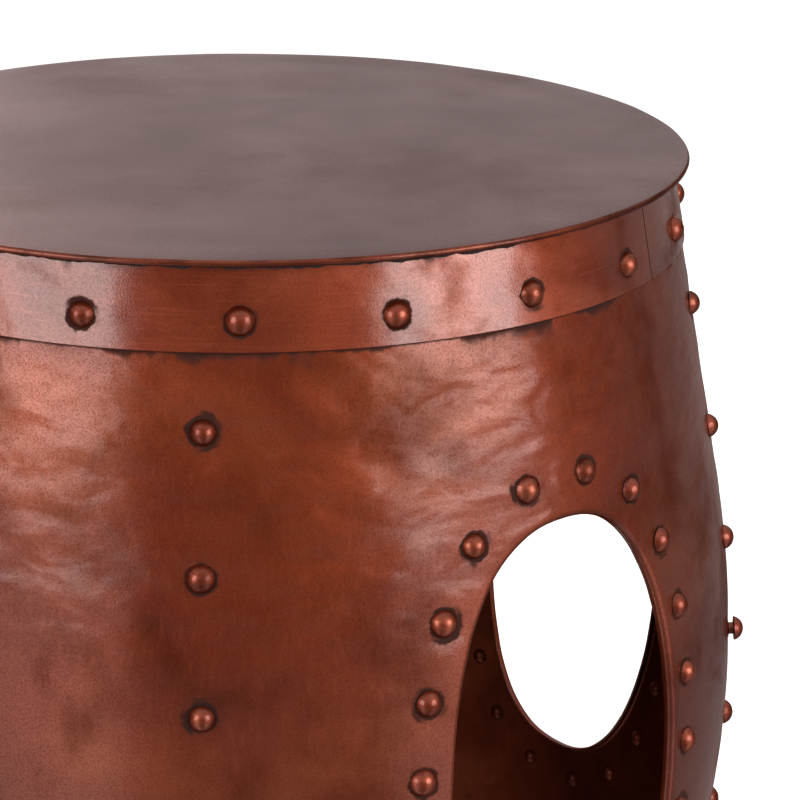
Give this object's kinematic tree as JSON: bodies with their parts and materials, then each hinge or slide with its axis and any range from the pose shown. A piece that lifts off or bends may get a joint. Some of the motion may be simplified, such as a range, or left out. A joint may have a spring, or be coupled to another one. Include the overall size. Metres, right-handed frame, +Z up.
{
  "type": "drum side table",
  "caption": "Barrel-shaped side table of riveted copper-finished sheet, with a flat hemmed round top, banded ends and large oval openings through its bulging wall.",
  "frame": {"origin": "floor level on the drum's axis, at the middle of the footprint", "axes": "+Z up along the drum's axis; the four oval openings face -Y (front), +X, +Y and -X"},
  "size_m": [0.4002, 0.4002, 0.45],
  "materials": {
    "top_sheet": "satin lacquered brown copper",
    "wall_sheet": "hammered antique copper plate",
    "band": "satin antique copper plate",
    "rivet": "antique copper plate",
    "solder": "rough blackened solder",
    "pad": "black rubber"
  },
  "bodies": {
    "root": {"tabletop": "top_sheet", "top_solder": "solder", "top_band": "band", "top_band_rivets": "rivet", "wall_panel_front": "wall_sheet", "wall_panel_right": "wall_sheet", "wall_panel_back": "wall_sheet", "wall_panel_left": "wall_sheet", "opening_rivets_front": "rivet", "opening_rivets_right": "rivet", "opening_rivets_back": "rivet", "opening_rivets_left": "rivet", "seam_rivets_front_left": "rivet", "seam_rivets_front_right": "rivet", "seam_rivets_back_right": "rivet", "seam_rivets_back_left": "rivet", "bottom_band": "band", "bottom_band_rivets": "rivet", "bottom_solder": "solder", "base_ring": "band", "floor_pads": "pad"}
  },
  "joints": []
}
